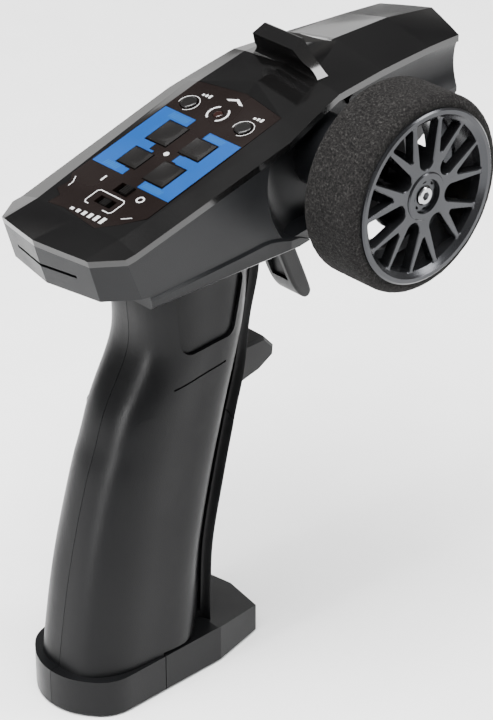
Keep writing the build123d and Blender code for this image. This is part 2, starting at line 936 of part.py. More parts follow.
def fin_profile():
    """Side view of the fin: overhanging rear face, flat lip and a crest that falls forward."""
    with BuildSketch(Plane.YZ.offset(-20)) as profile:
        with BuildLine():
            Polyline((83.0, 178), (61.5, 178), (61.8, 181.5))
            Spline((61.8, 181.5), (59.2, 186.0), (56.5, fin_lip_z), tangents=[(0, 1), (-0.6, 0.8)])
            Line((56.5, fin_lip_z), (60.6, fin_top_z))
            Spline(
                (60.6, fin_top_z),
                (66.0, 190.4),
                (72.0, 187.3),
                (80.6, 183.6),
                tangents=[(1, -0.25), (1, -0.4)],
            )
            Polyline((80.6, 183.6), (83.0, 182.8), (83.0, 178))
        make_face()
    return profile.sketch


def fin_front(base_half, top_half, waist_half, depth):
    """Front view of the fin: sides that curve in from a wide foot to a narrow top."""
    with BuildSketch(Plane.XZ.offset(-depth)) as front:
        with BuildLine():
            Line((0, 178), (base_half + 1.0, 178))
            Line((base_half + 1.0, 178), (base_half, 181.0))
            ThreePointArc((base_half, 181.0), (waist_half, 186.6), (top_half, fin_top_z))
            Line((top_half, fin_top_z), (0, fin_top_z + 0.6))
            mirror(about=Plane.YZ)
        make_face()
    return front.sketch


with BuildPart() as antenna_housing:
    # rear frame with flat flanks
    extrude(fin_front(fin_base_half, fin_top_half, 9.9, 50.0), amount=-16.4)
    # flanks lean forward towards the foot
    with BuildSketch(Plane.YZ.offset(-20)):
        with BuildLine():
            Polyline((50, 176), (66.8, 176), (66.0, 181.0), (60.9, fin_top_z + 1), (50, 194), close=True)
        make_face()
    extrude(amount=40, mode=Mode.INTERSECT)
    # central crest that narrows towards the nose
    with BuildSketch(Plane.XZ.offset(-60)):
        with BuildLine():
            Line((0, 178), (11.6, 178))
            Line((11.6, 178), (11.0, 181.0))
            ThreePointArc((11.0, 181.0), (4.9, 186.4), (4.2, 190.0))
            Line((4.2, 190.0), (0, fin_top_z))
            mirror(about=Plane.YZ)
        make_face()
    with BuildSketch(Plane.XZ.offset(-83)):
        with BuildLine():
            Line((0, 178), (6.6, 178))
            Line((6.6, 178), (6.2, 180.2))
            ThreePointArc((6.2, 180.2), (2.9, 181.9), (0.8, 183.2))
            Line((0.8, 183.2), (0, 183.4))
            mirror(about=Plane.YZ)
        make_face()
    loft()
    extrude(fin_profile(), amount=40, mode=Mode.INTERSECT)
    add(roof_space, mode=Mode.SUBTRACT)
    # pocket for the antenna strip, open at the bottom
    with Locations((0, 63.6, 184)):
        Box(9.0, 2.0, 10.0, mode=Mode.SUBTRACT)
antenna_housing.part.label = "antenna_housing"
export_step(antenna_housing.part, "parts/antenna_housing.step")

with BuildPart() as antenna:
    with BuildSketch(Plane.XZ.offset(-64.1)):
        with Locations((0, 185.3)):
            Rectangle(8.0, 6.0)
    extrude(amount=1.0)
antenna.part.label = "antenna"
export_step(antenna.part, "parts/antenna.step")

# ---- Finger rest on the front of the grip -----------------------------------------------
with BuildPart() as finger_rest:
    with BuildSketch(Plane.YZ.offset(-9)):
        with BuildLine():
            Polyline(
                (30, 100.6),
                (45.6, 100.6),
                (49.7, 96.0),
                (49.4, 93.0),
                (43.4, 89.7),
                (30, 86.8),
                close=True,
            )
        make_face()
    extrude(amount=18)
    side_edges = finger_rest.edges().filter_by(lambda e: abs(e.center().X) > 8.9 and e.center().Y > 36)
    chamfer(side_edges, length=1.0)
    add(grip_solid(0), mode=Mode.SUBTRACT)
    add(door_region(seam_gap), mode=Mode.SUBTRACT)
finger_rest.part.label = "finger_rest"
export_step(finger_rest.part, "parts/finger_rest.step")

# ---- Steering: bushes, shaft, wheel, tyre -----------------------------------------------
bush_inner_x = recess_floor_x - wall


def bush(start_x, flange_x):
    """Flanged bush that carries the steering shaft."""
    with BuildPart() as sleeve:
        with BuildSketch(axle_plane(start_x)):
            Circle(bush_r)
            Circle(shaft_r + running_gap, mode=Mode.SUBTRACT)
        extrude(amount=bush_length)
        with BuildSketch(axle_plane(flange_x)):
            Circle(bush_flange_r)
            Circle(shaft_r + running_gap, mode=Mode.SUBTRACT)
        extrude(amount=bush_flange)
    return sleeve.part


steering_bush_outer = bush(boss_end_x - bush_length, boss_end_x)
steering_bush_outer.label = "steering_bush_outer"
export_step(steering_bush_outer, "parts/steering_bush_outer.step")

steering_bush_inner = bush(bush_inner_x, bush_inner_x - bush_flange)
steering_bush_inner.label = "steering_bush_inner"
export_step(steering_bush_inner, "parts/steering_bush_inner.step")

shaft_end_x = 57.0
shaft_start_x = left_bracket_x - 1.5
bolt_r = 1.5
bolt_head_r = 2.7
bolt_head = 1.9
bolt_length = 9.0
with BuildPart() as steering_shaft:
    with BuildSketch(axle_plane(shaft_start_x)):
        Circle(shaft_r)
    extrude(amount=shaft_end_x - shaft_start_x)
    with BuildSketch(axle_plane(shaft_end_x)):
        Circle(bolt_r)
    extrude(amount=-bolt_length - 1, mode=Mode.SUBTRACT)
    # collar against the outer bush
    with BuildSketch(axle_plane(boss_end_x + bush_flange + 0.1)):
        Circle(5.0)
        Circle(shaft_r - 0.5, mode=Mode.SUBTRACT)
    extrude(amount=1.2)
steering_shaft.part.label = "steering_shaft"
export_step(steering_shaft.part, "parts/steering_shaft.step")

spokes = 7
arms = 2 * spokes
lip_inner_r = 24.2
barrel_r = 24.6
barrel_inner_r = 22.7
barrel_step_r = 20.6
barrel_step_x = 47.5
spoke_back_x = 55.6
spoke_front_x = 58.8
web_back_x = 49.5
hub_r = 7.2
hub_back_x = 44.0
hub_front_x = 59.3
hub_bevel = 0.35
cup_r = 5.2
cup_floor_x = 57.0
pocket_r = 2.7
pocket_centre_r = 10.9
window_r = 23.0
window_half = 4.45
arm_angle = 360 / arms


def pocket_window():
    """U-shaped window between two Y spokes, pointing along +x of its sketch."""
    with BuildSketch(mode=Mode.PRIVATE) as window:
        with BuildLine():
            rim_x = (window_r**2 - window_half**2) ** 0.5
            Line((pocket_centre_r, pocket_r), (rim_x, window_half))
            ThreePointArc((rim_x, window_half), (window_r, 0), (rim_x, -window_half))
            Line((rim_x, -window_half), (pocket_centre_r, -pocket_r))
            ThreePointArc(
                (pocket_centre_r, -pocket_r), (pocket_centre_r - pocket_r, 0), (pocket_centre_r, pocket_r)
            )
        make_face()
        outer_corners = window.vertices().group_by(Axis.X)[-1]
        fillet(outer_corners, radius=0.9)
    return window.sketch


def fork_window():
    """Three-cornered window inside one Y spoke, pointing along +x of its sketch."""
    with BuildSketch(mode=Mode.PRIVATE) as window:
        with BuildLine():
            rim_x = (window_r**2 - window_half**2) ** 0.5
            Line((12.2, 0), (rim_x, window_half))
            ThreePointArc((rim_x, window_half), (window_r, 0), (rim_x, -window_half))
            Line((rim_x, -window_half), (12.2, 0))
        make_face()
        fillet(window.vertices(), radius=0.7)
    return window.sketch


def on_front(edge):
    """True for an edge that lies in the front face of the spokes."""
    box = edge.bounding_box()
    return box.min.X > spoke_front_x - 0.01 and box.max.X < spoke_front_x + 0.01


def inside_windows(edge):
    """True for an edge that isn't the outer rim of the front face."""
    place = edge.center()
    return (place.Y - axis_y) ** 2 + (place.Z - axis_z) ** 2 > 1 and edge.length < 30


pocket_shape = pocket_window()
fork_shape = fork_window()
first_spoke = -90.0 + arm_angle

with BuildPart() as steering_wheel:
    # front face that the windows are cut from
    with BuildSketch(axle_plane(spoke_back_x)):
        Circle(window_r + 0.6)
    extrude(amount=spoke_front_x - spoke_back_x)
    # deep webs behind the roots of the spokes
    with BuildSketch(axle_plane(web_back_x)):
        Circle(12.6)
    extrude(amount=spoke_back_x - web_back_x)
    with BuildSketch(axle_plane(web_back_x - 1)):
        for i in range(spokes):
            turn = first_spoke + i * 360 / spokes
            add(pocket_shape.rotate(Axis.Z, turn))
            add(fork_shape.rotate(Axis.Z, turn + arm_angle))
    extrude(amount=20, mode=Mode.SUBTRACT)
    window_edges = steering_wheel.edges().filter_by(lambda e: on_front(e) and inside_windows(e))
    chamfer(window_edges, length=0.25)
    # barrel with a step and a rolled front lip
    with BuildSketch(Plane.XY.offset(axis_z)):
        with BuildLine():
            Polyline(
                (39.0, axis_y + barrel_r),
                (57.6, axis_y + barrel_r),
                (58.2, axis_y + rim_r - 0.4),
                (58.8, axis_y + rim_r),
                (59.6, axis_y + rim_r),
                (60.0, axis_y + rim_r - 0.5),
                (60.0, axis_y + lip_inner_r + 0.3),
                (59.5, axis_y + lip_inner_r - 0.2),
                (spoke_front_x - 0.3, axis_y + barrel_inner_r + 0.2),
                (spoke_back_x, axis_y + barrel_inner_r),
                (barrel_step_x, axis_y + barrel_inner_r),
                (barrel_step_x - 1.2, axis_y + barrel_step_r),
                (39.0, axis_y + barrel_step_r),
                close=True,
            )
        make_face()
    revolve(axis=Axis((0, axis_y, axis_z), (1, 0, 0)))
    # hub, with a bevelled front edge
    with BuildSketch(axle_plane(hub_back_x)):
        Circle(hub_r)
    extrude(amount=hub_front_x - hub_bevel - hub_back_x)
    with BuildSketch(axle_plane(hub_front_x - hub_bevel)):
        Circle(hub_r)
    extrude(amount=hub_bevel, taper=45)
    with BuildSketch(axle_plane(cup_floor_x)):
        Circle(cup_r)
    extrude(amount=5, mode=Mode.SUBTRACT)
    with BuildSketch(axle_plane(hub_back_x - 1)):
        Circle(shaft_r + 0.02)
    extrude(amount=20, mode=Mode.SUBTRACT)
steering_wheel.part.label = "steering_wheel"
export_step(steering_wheel.part, "parts/steering_wheel.step")

tyre_inner_r = barrel_r + 0.05
tyre_back_x = wheel_face_x - tyre_width
with BuildPart() as foam_tyre:
    with BuildSketch(Plane.XY.offset(axis_z)):
        with BuildLine():
            back = (tyre_back_x, axis_y + 26.4)
            back_shoulder = (tyre_back_x + 3.4, axis_y + tyre_r)
            front_shoulder = (wheel_face_x - 5.4, axis_y + tyre_r)
            front = (wheel_face_x - 1.0, axis_y + rim_r + 0.6)
            Polyline((wheel_face_x - 2.5, axis_y + tyre_inner_r), (tyre_back_x, axis_y + tyre_inner_r), back)
            Spline(back, back_shoulder, tangents=[(0, 1), (1, 0)])
            Line(back_shoulder, front_shoulder)
            Spline(front_shoulder, front, tangents=[(1, 0), (0.1, -1)])
            Polyline(
                front,
                (wheel_face_x - 1.3, axis_y + rim_r + 0.05),
                (wheel_face_x - 1.9, axis_y + rim_r - 0.3),
                (wheel_face_x - 2.5, axis_y + tyre_inner_r),
            )
        make_face()
    revolve(axis=Axis((0, axis_y, axis_z), (1, 0, 0)))
foam_tyre.part.label = "foam_tyre"
export_step(foam_tyre.part, "parts/foam_tyre.step")

with BuildPart() as hub_ring:
    with BuildSketch(axle_plane(cup_floor_x)):
        Circle(cup_r - 0.15)
        Circle(bolt_head_r + 0.3, mode=Mode.SUBTRACT)
    extrude(amount=1.1)
    with BuildSketch(axle_plane(cup_floor_x + 1.1)):
        with PolarLocations(4.1, 8):
            RectangleRounded(0.7, 1.5, radius=0.3)
    extrude(amount=-0.4, mode=Mode.SUBTRACT)
hub_ring.part.label = "hub_ring"
export_step(hub_ring.part, "parts/hub_ring.step")

with BuildPart() as wheel_bolt:
    with BuildSketch(axle_plane(shaft_end_x)):
        Circle(bolt_r)
    extrude(amount=-bolt_length)
    with BuildSketch(axle_plane(shaft_end_x)):
        Circle(bolt_head_r)
    extrude(amount=bolt_head)
    head_rim = wheel_bolt.faces().sort_by(Axis.X)[-1].edges()
    chamfer(head_rim, length=0.35)
    with BuildSketch(axle_plane(shaft_end_x + bolt_head)):
        RegularPolygon(radius=1.35, side_count=6)
    extrude(amount=-1.3, mode=Mode.SUBTRACT)
wheel_bolt.part.label = "wheel_bolt"
export_step(wheel_bolt.part, "parts/wheel_bolt.step")

# ---- Bearing plate on the boss, seen between the spokes ---------------------------------
plate_r = 15.0
with BuildPart() as bearing_plate:
    with BuildSketch(axle_plane(boss_end_x - 2.0)):
        Circle(plate_r)
        Circle(boss_r, mode=Mode.SUBTRACT)
    extrude(amount=1.9)
    # block on the plate, shaped like a brake calliper
    with BuildSketch(axle_plane(boss_end_x - 2.0)):
        with PolarLocations(13.8, 1, start_angle=128):
            RectangleRounded(4.6, 12.0, radius=1.2)
    extrude(amount=8.5)
    # ears with small round bosses
    with BuildSketch(axle_plane(boss_end_x - 0.1)):
        with PolarLocations(13.0, 3, start_angle=60):
            Circle(1.7)
            Circle(0.7, mode=Mode.SUBTRACT)
    extrude(amount=2.2)
bearing_plate.part.label = "bearing_plate"
export_step(bearing_plate.part, "parts/bearing_plate.step")

# ---- Gears and steering pot -------------------------------------------------------------
tooth_height = 0.75
tooth_pitch_width = 1.2
tooth_tip_width = 0.6


def spur_gear(y, z, bore, phase):
    """Small spur gear across the pot's plane, with one tooth at the phase angle."""
    root_r = gear_pitch_r - tooth_height - 0.1
    tip_r = gear_pitch_r + tooth_height
    with BuildSketch() as tooth:
        with BuildLine():
            Polyline(
                (root_r - 0.4, tooth_pitch_width * 0.75),
                (gear_pitch_r, tooth_pitch_width / 2),
                (tip_r, tooth_tip_width / 2),
                (tip_r, -tooth_tip_width / 2),
                (gear_pitch_r, -tooth_pitch_width / 2),
                (root_r - 0.4, -tooth_pitch_width * 0.75),
                close=True,
            )
        make_face()
    with BuildPart() as gear:
        with BuildSketch(Plane(origin=(gear_x, y, z), x_dir=(0, 1, 0), z_dir=(1, 0, 0))):
            Circle(root_r)
            for i in range(gear_teeth):
                add(tooth.sketch.rotate(Axis.Z, phase + i * 360 / gear_teeth))
            Circle(bore, mode=Mode.SUBTRACT)
        extrude(amount=gear_width)
    return gear.part


drive_gear = spur_gear(axis_y, axis_z, shaft_r + 0.02, 0)
drive_gear.label = "drive_gear"
export_step(drive_gear, "parts/drive_gear.step")

half_tooth = 180 / gear_teeth
pot_shaft_r = 1.5
steering_pot_gear = spur_gear(pot_y, axis_z, pot_shaft_r + 0.02, 180 - half_tooth)
steering_pot_gear.label = "steering_pot_gear"
export_step(steering_pot_gear, "parts/steering_pot_gear.step")


def pot_plane(x):
    """Plane facing +X, centred on the steering pot's axis."""
    return Plane(origin=(x, pot_y, axis_z), x_dir=(0, 1, 0), z_dir=(1, 0, 0))


pot_body_r = 7.0
pot_body_x = 0.0
pot_well_r = pot_shaft_r + 0.4
with BuildPart() as steering_pot:
    with BuildSketch(pot_plane(pot_body_x)):
        Circle(pot_body_r)
    extrude(amount=pot_flange_x - pot_body_x)
    with BuildSketch(pot_plane(pot_flange_x)):
        SlotOverall(2 * pot_post_reach + 5.0, 5.0, rotation=90)
        Circle(pot_body_r)
    extrude(amount=pot_flange)
    with BuildSketch(pot_plane(pot_flange_x)):
        for side in (-1, 1):
            with Locations((0, side * pot_post_reach)):
                Circle(pot_screw_r + 0.2)
    extrude(amount=pot_flange, mode=Mode.SUBTRACT)
    with BuildSketch(pot_plane(pot_flange_x + pot_flange)):
        Circle(pot_well_r)
    extrude(amount=-4.0, mode=Mode.SUBTRACT)
    # three solder tags
    with BuildSketch(pot_plane(pot_body_x + 1.0)):
        for step in (-1, 0, 1):
            with Locations((step * 3.0, pot_body_r + 0.6)):
                Rectangle(1.2, 4.0)
    extrude(amount=0.5)
steering_pot.part.label = "steering_pot"
export_step(steering_pot.part, "parts/steering_pot.step")

with BuildPart() as steering_pot_shaft:
    with BuildSketch(pot_plane(gear_x + gear_width + 0.4)):
        Circle(pot_shaft_r)
    extrude(amount=-gear_width - 0.8 - 2.8)
steering_pot_shaft.part.label = "steering_pot_shaft"
export_step(steering_pot_shaft.part, "parts/steering_pot_shaft.step")

with BuildPart() as pot_screws:
    for side in (-1, 1):
        with BuildSketch(pot_plane(pot_flange_x)):
            with Locations((0, side * pot_post_reach)):
                Circle(1.5)
        extrude(amount=-1.1)
        with BuildSketch(pot_plane(pot_flange_x)):
            with Locations((0, side * pot_post_reach)):
                Circle(pot_screw_r - 0.02)
        extrude(amount=4.6)
pot_screws.part.label = "pot_screws"
export_step(pot_screws.part, "parts/pot_screws.step")


def coil_spring(start, radius, wire_r, turns, length):
    """Torsion spring wound along +X from its start point."""
    path = Helix(pitch=length / turns, height=length, radius=radius, center=start, direction=(1, 0, 0))
    with BuildPart() as spring:
        with BuildSketch(Plane(origin=path @ 0, z_dir=path % 0)):
            Circle(wire_r)
        sweep(path=path)
    return spring.part


steering_spring = coil_spring((-8.0, axis_y, axis_z), 4.3, 0.5, 7, 13.0)
steering_spring.label = "steering_spring"
export_step(steering_spring, "parts/steering_spring.step")

# ---- Trigger ----------------------------------------------------------------------------
with BuildPart() as trigger:
    half = trigger_width / 2
    with BuildSketch(side_plane(-half)):
        with BuildLine():
            Line((49.6, 147.0), (49.6, 138.0))
            rear = Spline(
                (49.6, 138.0), (54.0, 126.0), (58.6, 116.0), (65.0, 105.4), tangents=[(0, -1), (0.75, -0.65)]
            )
            tip = Spline((65.0, 105.4), (67.4, 104.9), (68.3, 107.4), tangents=[rear % 1, (-0.35, 1)])
            Spline((68.3, 107.4), (64.6, 116.7), (61.2, 124.9), (58.4, 138.0), tangents=[tip % 1, (0, 1)])
            Polyline((58.4, 138.0), (58.4, 147.0), (49.6, 147.0))
        make_face()
    extrude(amount=trigger_width)
    fillet(trigger.edges().filter_by(GeomType.BSPLINE), radius=1.0)
    # hollow down the rear of the blade
    with BuildSketch(side_plane(-half + 2.1)):
        with BuildLine():
            Line((40, 141.0), (40, 112.0))
            Line((40, 112.0), (61.4, 112.0))
            Spline((61.4, 112.0), (59.4, 119.0), (56.6, 130.0), (56.2, 141.0), tangents=[(-0.3, 1), (0, 1)])
            Line((56.2, 141.0), (40, 141.0))
        make_face()
    extrude(amount=trigger_width - 4.2, mode=Mode.SUBTRACT)
    with BuildSketch(side_plane(-half)):
        with Locations((trigger_y, trigger_z)):
            Circle(trigger_hub_r)
    extrude(amount=trigger_width)
    with BuildSketch(side_plane(-half)):
        with Locations((trigger_y, trigger_z)):
            Circle(trigger_pin_r + 0.02)
    extrude(amount=trigger_width, mode=Mode.SUBTRACT)
trigger.part.label = "trigger"
export_step(trigger.part, "parts/trigger.step")

pin_start_x = -17.5
pin_end_x = right_bracket_x + right_bracket_width
with BuildPart() as trigger_pin:
    with BuildSketch(side_plane(pin_start_x)):
        with Locations((trigger_y, trigger_z)):
            Circle(trigger_pin_r)
    extrude(amount=pin_end_x - pin_start_x)
trigger_pin.part.label = "trigger_pin"
export_step(trigger_pin.part, "parts/trigger_pin.step")

with BuildPart() as trigger_pot:
    with BuildSketch(side_plane(left_bracket_x)):
        with Locations((trigger_y, trigger_z - 0.6)):
            Rectangle(11.0, 8.6)
    extrude(amount=-7.0)
    with BuildSketch(side_plane(left_bracket_x)):
        with Locations((trigger_y, trigger_z)):
            Circle(trigger_pin_r + 0.4)
    extrude(amount=-6.2, mode=Mode.SUBTRACT)
trigger_pot.part.label = "trigger_pot"
export_step(trigger_pot.part, "parts/trigger_pot.step")

trigger_spring = coil_spring((-9.6, trigger_y, trigger_z), 2.9, 0.35, 4, 3.7)
trigger_spring.label = "trigger_spring"
export_step(trigger_spring, "parts/trigger_spring.step")

# ---- Battery door, cells, holder and contacts -------------------------------------------
strip_overlap = 1.0
with BuildPart() as battery_door:
    # curved strip up the front of the grip
    add(grip_solid())
    add(door_region(), mode=Mode.INTERSECT)
    add(grip_hollow(), mode=Mode.SUBTRACT)
    # the grip's floor plate stays with the body
    with Locations((0, -6.0, bay_floor_z - 10)):
        Box(80, 2 * 20.0, 20 + strip_overlap, mode=Mode.SUBTRACT)
    # front half of the foot
    add(foot_solid() & door_region())
    # hollow in the toe, open towards the heel
    with Locations((0, foot_split_y + 14, 6.0)):
        Box(2 * 13.0, 28, 7.0, mode=Mode.SUBTRACT)
# the door itself, without the slivers that the cell scallops leave at its edges
door_solid = battery_door.part.solids().sort_by(SortBy.VOLUME)[-1]
door_solid.label = "battery_door"
export_step(door_solid, "parts/battery_door.step")

cell_number = 0
for x in (-1, 1):
    for y in (-1, 1):
        cell_number += 1
        with BuildPart() as cell:
            with BuildSketch(pack_plane):
                with Locations((x * cell_pitch / 2, y * cell_pitch / 2)):
                    Circle(cell_r)
            extrude(amount=cell_length - 1.2)
            rims = cell.edges().filter_by(GeomType.CIRCLE)
            fillet(rims, radius=0.6)
            with BuildSketch(pack_plane.offset(cell_length - 1.2)):
                with Locations((x * cell_pitch / 2, y * cell_pitch / 2)):
                    Circle(2.7)
            extrude(amount=1.2)
        cell.part.label = "battery_cell_" + str(cell_number)
        export_step(cell.part, "parts/battery_cell_" + str(cell_number) + ".step")

holder_width = 25.2
holder_depth = 26.2
holder_corner = 5.0
holder_pillar_r = 2.4
holder_gap = 0.9
plate = 1.4
with BuildPart() as battery_holder:
    for start in (-holder_gap - plate, cell_length + holder_gap):
        with BuildSketch(pack_plane.offset(start)):
            RectangleRounded(holder_width, holder_depth, radius=holder_corner)
        extrude(amount=plate)
    # pillar between the four cells that joins the two end plates
    with BuildSketch(pack_plane.offset(-holder_gap - plate)):
        Circle(holder_pillar_r)
    extrude(amount=cell_length + 2 * (holder_gap + plate))
battery_holder.part.label = "battery_holder"
export_step(battery_holder.part, "parts/battery_holder.step")

with BuildPart() as battery_contacts:
    for x in (-1, 1):
        for start in (-holder_gap, cell_length + 0.2):
            with BuildSketch(pack_plane.offset(start)):
                with Locations((x * cell_pitch / 2, 0)):
                    RectangleRounded(8.0, cell_pitch + 7.0, radius=1.5)
            extrude(amount=holder_gap - 0.2)
battery_contacts.part.label = "battery_contacts"
export_step(battery_contacts.part, "parts/battery_contacts.step")
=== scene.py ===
"""Looks of a pistol-grip radio transmitter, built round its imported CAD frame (metres)."""

import json
import math
import random

import bpy
from mathutils import Matrix, Vector


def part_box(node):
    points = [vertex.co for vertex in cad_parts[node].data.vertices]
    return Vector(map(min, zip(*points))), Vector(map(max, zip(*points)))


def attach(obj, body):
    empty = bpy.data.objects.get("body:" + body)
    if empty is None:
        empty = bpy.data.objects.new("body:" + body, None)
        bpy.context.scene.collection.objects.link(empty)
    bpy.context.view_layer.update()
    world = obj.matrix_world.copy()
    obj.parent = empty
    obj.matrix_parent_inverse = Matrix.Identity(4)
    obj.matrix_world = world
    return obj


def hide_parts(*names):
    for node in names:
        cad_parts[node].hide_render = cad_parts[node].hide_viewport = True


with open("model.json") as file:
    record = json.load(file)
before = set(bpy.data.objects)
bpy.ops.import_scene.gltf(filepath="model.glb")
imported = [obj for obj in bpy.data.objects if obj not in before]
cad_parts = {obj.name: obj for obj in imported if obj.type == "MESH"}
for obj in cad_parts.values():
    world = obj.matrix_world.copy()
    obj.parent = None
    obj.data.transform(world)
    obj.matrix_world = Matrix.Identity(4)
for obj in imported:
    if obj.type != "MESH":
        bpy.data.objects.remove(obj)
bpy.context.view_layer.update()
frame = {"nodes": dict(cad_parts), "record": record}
random.seed(7)

MM = 0.001
# a point of the steering axis, which is parallel to X
AXIS = Vector((0, 60 * MM, 161 * MM))

# ---- Camera -----------------------------------------------------------------------------
CAMERA_AZIMUTH = math.radians(46.71)
CAMERA_DROP = math.radians(30.17)
CAMERA_PLACE = Vector((0.53512, -0.45776, 0.51580))
CAMERA_LENS = 140.0

camera_data = bpy.data.cameras.new("camera")
camera_data.lens = CAMERA_LENS
camera_data.sensor_width = 36.0
camera_data.clip_start = 0.01
camera_data.clip_end = 20
camera = bpy.data.objects.new("camera", camera_data)
camera.location = CAMERA_PLACE
camera.rotation_euler = (math.pi / 2 - CAMERA_DROP, 0, CAMERA_AZIMUTH)
bpy.context.collection.objects.link(camera)
bpy.context.scene.camera = camera


# ---- Material helpers -------------------------------------------------------------------
def new_material(name, colour, roughness, metallic=0.0):
    """A Principled material with its plain values set on the shader itself."""
    material = bpy.data.materials.new(name)
    material.use_nodes = True
    shader = material.node_tree.nodes["Principled BSDF"]
    shader.inputs["Base Color"].default_value = (*colour, 1)
    shader.inputs["Roughness"].default_value = roughness
    shader.inputs["Metallic"].default_value = metallic
    return material, material.node_tree, shader


def add_node(tree, kind, **values):
    """Adds a node and sets its inputs by name."""
    node = tree.nodes.new(kind)
    for key, value in values.items():
        node.inputs[key.replace("_", " ")].default_value = value
    return node


def object_coordinates(tree):
    """The model's own coordinates, in metres."""
    return tree.nodes.new("ShaderNodeTexCoord").outputs["Object"]


def noise(tree, scale, detail=3.0, roughness=0.5):
    """Noise in the model's own coordinates."""
    node = add_node(tree, "ShaderNodeTexNoise", Scale=scale, Detail=detail, Roughness=roughness)
    tree.links.new(object_coordinates(tree), node.inputs["Vector"])
    return node.outputs["Fac"]


def ramp(tree, source, stops):
    """Colour ramp: stops are (place, colour)."""
    node = tree.nodes.new("ShaderNodeValToRGB")
    elements = node.color_ramp.elements
    while len(elements) < len(stops):
        elements.new(0.5)
    for element, (place, colour) in zip(elements, stops):
        element.position = place
        element.color = (*colour, 1)
    tree.links.new(source, node.inputs["Fac"])
    return node.outputs["Color"]


def value_range(tree, source, low, high, from_low=0.0, from_high=1.0):
    """Maps a value onto a new range."""
    node = add_node(tree, "ShaderNodeMapRange")
    node.inputs["From Min"].default_value = from_low
    node.inputs["From Max"].default_value = from_high
    node.inputs["To Min"].default_value = low
    node.inputs["To Max"].default_value = high
    tree.links.new(source, node.inputs["Value"])
    return node.outputs["Result"]


def bump(tree, shader, height, strength, distance):
    """Bump from a height value."""
    node = add_node(tree, "ShaderNodeBump", Strength=strength, Distance=distance)
    tree.links.new(height, node.inputs["Height"])
    tree.links.new(node.outputs["Normal"], shader.inputs["Normal"])


def grained(
    name, colour, roughness, grain_scale, grain_depth, spread=0.12, metallic=0.0, tint=0.12, shine=0.5
):
    """Moulded plastic or lacquer: fine grain, with slow changes of tone and gloss."""
    material, tree, shader = new_material(name, colour, roughness, metallic)
    shader.inputs["Specular IOR Level"].default_value = shine
    slow = noise(tree, 45.0, 2.0)
    dark = tuple(c * (1 - tint) for c in colour)
    light = tuple(c * (1 + tint) for c in colour)
    tree.links.new(ramp(tree, slow, [(0.3, dark), (0.7, light)]), shader.inputs["Base Color"])
    tree.links.new(
        value_range(tree, slow, roughness - spread / 2, roughness + spread / 2, 0.3, 0.7),
        shader.inputs["Roughness"],
    )
    bump(tree, shader, noise(tree, grain_scale, 2.0), 0.5, grain_depth)
    return material


def foam_material():
    """Open-cell foam: nearly black, with pale specks, and deep pits darkened by painted shade."""
    material, tree, shader = new_material("foam", (0.01, 0.01, 0.01), 0.95)
    shader.inputs["Specular IOR Level"].default_value = 0.15
    cells = noise(tree, 1500.0, 4.0, 0.75)
    # the darkest colour follows the lowest pits of the bump: it is painted shade
    painted_pit_shade, skin, fleck, speck = (
        (0.38, (0.0015, 0.0014, 0.0014)),
        (0.52, (0.008, 0.0075, 0.0072)),
        (0.64, (0.022, 0.021, 0.020)),
        (0.74, (0.060, 0.058, 0.056)),
    )
    colour = ramp(tree, cells, [painted_pit_shade, skin, fleck, speck])
    tree.links.new(colour, shader.inputs["Base Color"])
    bump(tree, shader, cells, 0.9, 0.0006)
    return material


def shell_material():
    """The body's plastic: dark and satin on the grip and foot, smoother on the head, where a lighter
    colour is painted sheen.
    """
    material, tree, shader = new_material("shell_plastic", (0.005, 0.005, 0.0055), 0.36)
    split = tree.nodes.new("ShaderNodeSeparateXYZ")
    tree.links.new(object_coordinates(tree), split.inputs["Vector"])
    head_gloss_and_sheen = value_range(tree, split.outputs["Z"], 0.0, 1.0, 0.137, 0.143)
    # the head's lighter base colour is painted sheen; its higher specular level below is the real
    # smoother finish
    colour = ramp(tree, head_gloss_and_sheen, [(0.0, (0.0030, 0.0031, 0.0034)), (1.0, (0.0050, 0.0053, 0.0060))])
    tree.links.new(colour, shader.inputs["Base Color"])
    tree.links.new(value_range(tree, head_gloss_and_sheen, 0.13, 0.17), shader.inputs["Specular IOR Level"])
    slow = noise(tree, 45.0, 2.0)
    tree.links.new(value_range(tree, slow, 0.29, 0.41, 0.3, 0.7), shader.inputs["Roughness"])
    bump(tree, shader, noise(tree, 2600, 2.0), 0.5, 0.00009)
    return material


# ---- Materials --------------------------------------------------------------------------
shell_plastic = shell_material()
cover_gloss = grained("cover_gloss", (0.0030, 0.0029, 0.0029), 0.10, 300, 0.000004, spread=0.05)
panel_sheet = grained("panel_sheet", (0.0045, 0.0026, 0.0022), 0.26, 1500, 0.00002, shine=0.3)
panel_blue = grained("panel_blue", (0.0, 0.036, 0.155), 0.40, 1500, 0.00002, tint=0.05, shine=0.3)
hatch_blue = grained("hatch_blue", (0.015, 0.10, 0.23), 0.45, 1500, 0.00002, tint=0.05, shine=0.3)
print_white = grained("print_white", (0.42, 0.42, 0.42), 0.45, 1500, 0.00002, tint=0.04, shine=0.3)
key_plastic = grained("key_plastic", (0.0040, 0.0036, 0.0034), 0.24, 1800, 0.00003)
soft_black = grained("soft_black", (0.0035, 0.0035, 0.0038), 0.48, 3000, 0.00008, shine=0.2)
wheel_grey = grained("wheel_grey", (0.036, 0.037, 0.040), 0.24, 2200, 0.00003, metallic=0.85)
foam = foam_material()
steel = grained("steel", (0.38, 0.38, 0.39), 0.22, 1200, 0.00002, metallic=1.0)
brass = grained("brass", (0.55, 0.38, 0.14), 0.3, 1200, 0.00002, metallic=1.0)
nylon = grained("nylon", (0.40, 0.38, 0.31), 0.45, 1500, 0.00004)
board_green = grained("board_green", (0.006, 0.05, 0.02), 0.35, 1500, 0.00002)
cell_sleeve = grained("cell_sleeve", (0.03, 0.035, 0.045), 0.3, 900, 0.00002)
lamp_tint = grained("lamp_tint", (0.012, 0.004, 0.003), 0.12, 900, 0.00001)

